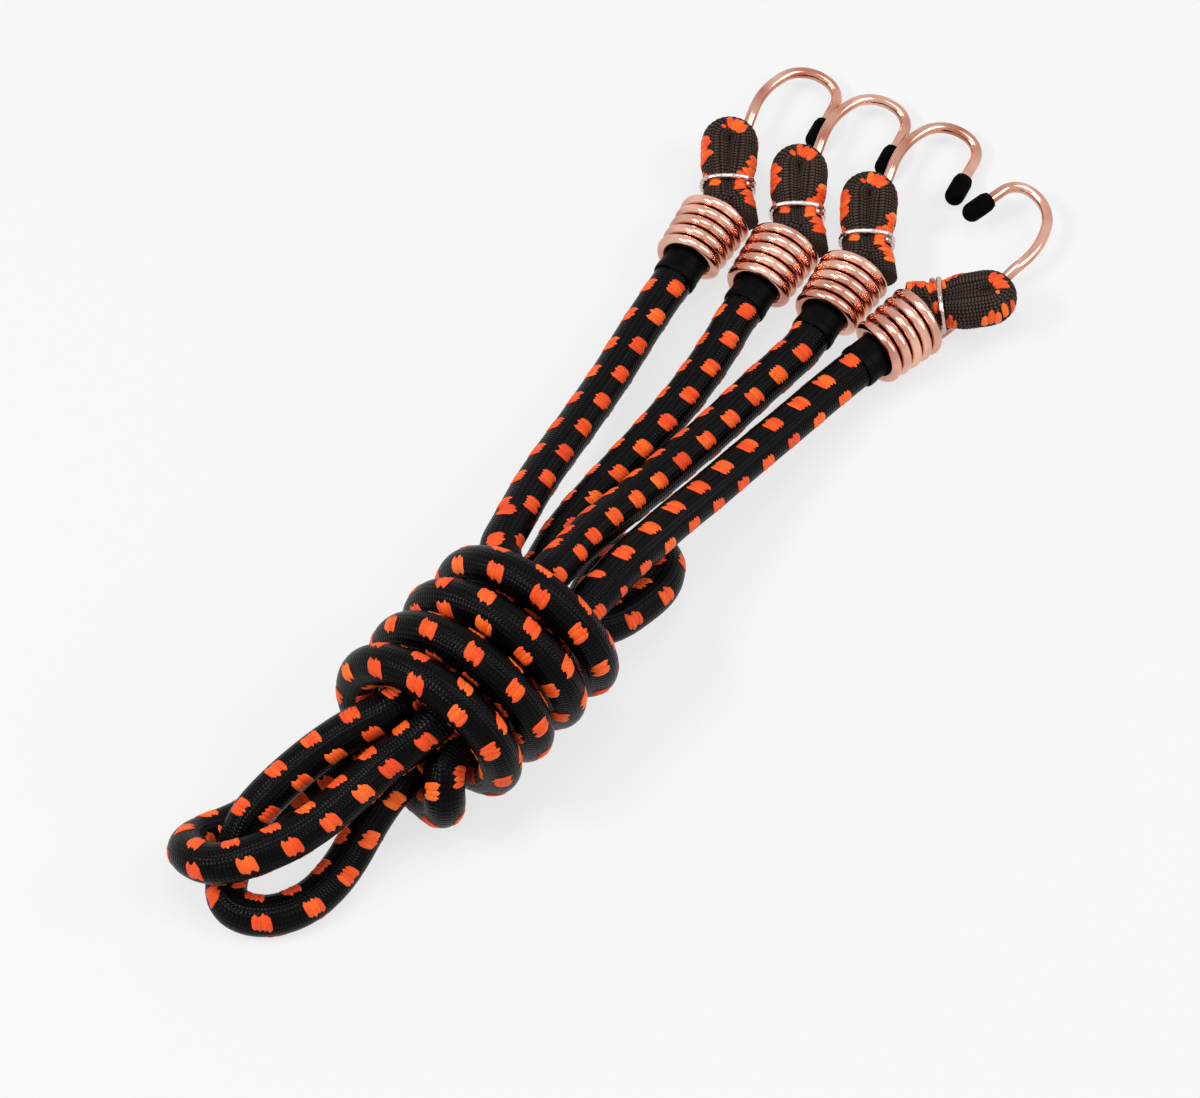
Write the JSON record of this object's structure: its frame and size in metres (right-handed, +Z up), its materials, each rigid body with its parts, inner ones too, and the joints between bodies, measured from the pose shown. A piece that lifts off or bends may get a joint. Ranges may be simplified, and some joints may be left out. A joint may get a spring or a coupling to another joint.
{
  "type": "bungee cord",
  "caption": "Elastic braided luggage cords with coiled wire hooks, wound into one hank and laid on a table.",
  "frame": {"origin": "on the table under the middle of the wrap, at the pressed flat that the second turn rests on", "axes": "+X along the hank towards the hooks, +Z up, +Y to the left seen from the wrap towards the hooks"},
  "size_m": [0.2918, 0.0927, 0.0489],
  "materials": {
    "braid": "woven, black with orange flecks",
    "rubber": "matt natural rubber threads",
    "copper": "copper-coloured plating, polished",
    "silver": "bright zinc plating",
    "vinyl": "matt dipped vinyl",
    "sleeve": "satin"
  },
  "bodies": {
    "hank": {"long_cord_hank": "braid", "short_cord_hank": "braid", "cord_leg_1": "braid", "cord_leg_2": "braid", "cord_leg_3": "braid", "cord_leg_4": "braid", "rubber_core_1": "rubber", "rubber_core_2": "rubber", "rubber_core_3": "rubber", "rubber_core_4": "rubber"},
    "sleeve_1": {"collar_1": "sleeve"},
    "end_1": {"cord_end_1": "braid", "hook_1": "copper", "hook_tip_1": "vinyl", "tie_ring_1": "silver"},
    "sleeve_2": {"collar_2": "sleeve"},
    "end_2": {"cord_end_2": "braid", "hook_2": "copper", "hook_tip_2": "vinyl", "tie_ring_2": "silver"},
    "sleeve_3": {"collar_3": "sleeve"},
    "end_3": {"cord_end_3": "braid", "hook_3": "copper", "hook_tip_3": "vinyl", "tie_ring_3": "silver"},
    "sleeve_4": {"collar_4": "sleeve"},
    "end_4": {"cord_end_4": "braid", "hook_4": "copper", "hook_tip_4": "vinyl", "tie_ring_4": "silver"}
  },
  "joints": [
    {"name": "stretch_1", "type": "slide", "parent": "hank", "child": "sleeve_1", "axis": [0.9848, 0.1736, 0], "range_m": [0, 0.04], "stiffness_N_per_m": 350, "deforming": ["cord_leg_1", "rubber_core_1"]},
    {"name": "stretch_2", "type": "slide", "parent": "hank", "child": "sleeve_2", "axis": [0.9848, 0.1736, 0], "range_m": [0, 0.04], "stiffness_N_per_m": 350, "deforming": ["cord_leg_2", "rubber_core_2"]},
    {"name": "stretch_3", "type": "slide", "parent": "hank", "child": "sleeve_3", "axis": [0.9877, 0.1564, 0], "range_m": [0, 0.04], "stiffness_N_per_m": 350, "deforming": ["cord_leg_3", "rubber_core_3"]},
    {"name": "stretch_4", "type": "slide", "parent": "hank", "child": "sleeve_4", "axis": [0.9914, -0.1305, 0], "range_m": [0, 0.04], "stiffness_N_per_m": 350, "deforming": ["cord_leg_4", "rubber_core_4"]},
    {"name": "twist_1", "type": "hinge", "parent": "sleeve_1", "child": "end_1", "pos_m": [0.1449, 0.0465, 0.00931], "axis": [0.9848, 0.1736, 0], "range_deg": [0, 55]},
    {"name": "twist_2", "type": "hinge", "parent": "sleeve_2", "child": "end_2", "pos_m": [0.1496, 0.0278, 0.00931], "axis": [0.9848, 0.1736, 0], "range_deg": [0, 55]},
    {"name": "twist_3", "type": "hinge", "parent": "sleeve_3", "child": "end_3", "pos_m": [0.1541, 0.0094, 0.00931], "axis": [0.9877, 0.1564, 0], "range_deg": [0, 55]},
    {"name": "twist_4", "type": "hinge", "parent": "sleeve_4", "child": "end_4", "pos_m": [0.1538, -0.0112, 0.00931], "axis": [0.9914, -0.1305, 0], "range_deg": [-90, 90]}
  ],
  "couplings": [
    {"joint": "stretch_2", "follows": "stretch_1", "ratio": 1},
    {"joint": "stretch_3", "follows": "stretch_1", "ratio": 1}
  ]
}
